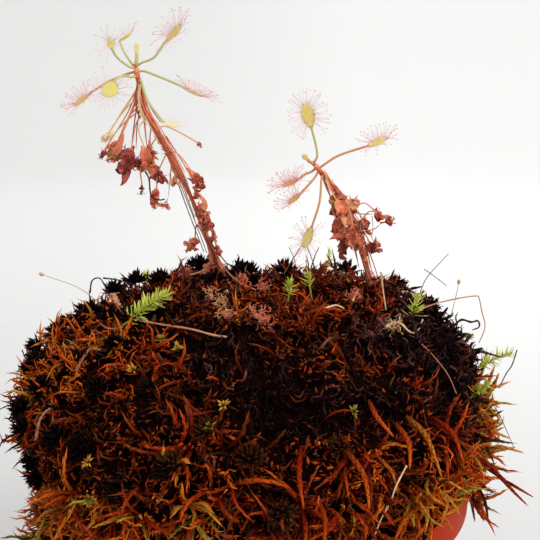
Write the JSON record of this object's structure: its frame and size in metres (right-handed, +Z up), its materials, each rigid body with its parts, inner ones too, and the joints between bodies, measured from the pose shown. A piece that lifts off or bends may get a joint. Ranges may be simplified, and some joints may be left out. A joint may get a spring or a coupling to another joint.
{
  "type": "potted sundew plant",
  "caption": "Sundew rosettes with sticky spoon leaves on tall stems, growing from a domed cushion of bog moss in a tapered plastic pot.",
  "frame": {"origin": "centre of the pot's flat underside", "axes": "+Z up along the pot's axis, +X to the viewer's right and -Y towards the viewer, as in the picture"},
  "size_m": [0.1646, 0.1664, 0.2454],
  "materials": {
    "pot_plastic": "satin",
    "growing_medium": "matte",
    "bog_moss": "matte",
    "sundew_stem": "matte",
    "sundew_leaf_yellow": "satin",
    "sundew_leaf_red": "satin",
    "sundew_leaf_cream": "satin",
    "green_moss": "matte",
    "dry_stalk": "matte"
  },
  "bodies": {
    "root": {"pot": "pot_plastic", "growing_medium": "growing_medium", "moss_mound": "bog_moss", "sundew_left_stem": "sundew_stem", "sundew_right_stem": "sundew_stem", "sundew_left_leaf_1": "sundew_leaf_yellow", "sundew_left_leaf_2": "sundew_leaf_yellow", "sundew_left_leaf_3": "sundew_leaf_yellow", "sundew_left_leaf_4": "sundew_leaf_yellow", "sundew_left_leaf_5": "sundew_leaf_red", "sundew_left_leaf_6": "sundew_leaf_cream", "sundew_left_leaf_7": "sundew_leaf_yellow", "sundew_left_leaf_8": "sundew_leaf_yellow", "sundew_right_leaf_1": "sundew_leaf_yellow", "sundew_right_leaf_2": "sundew_leaf_red", "sundew_right_leaf_3": "sundew_leaf_yellow", "sundew_right_leaf_4": "sundew_leaf_red", "sundew_right_leaf_5": "sundew_leaf_red", "sundew_right_leaf_6": "sundew_leaf_cream", "moss_sprig_1": "green_moss", "moss_sprig_2": "green_moss", "moss_sprig_3": "green_moss", "moss_sprig_4": "green_moss", "moss_sprig_5": "green_moss", "moss_sprig_6": "green_moss", "moss_sprig_7": "green_moss", "moss_sprig_8": "green_moss", "capsule_stalk_1": "dry_stalk", "capsule_stalk_2": "dry_stalk", "dry_stalk_1": "dry_stalk", "dry_stalk_2": "dry_stalk"}
  },
  "joints": []
}
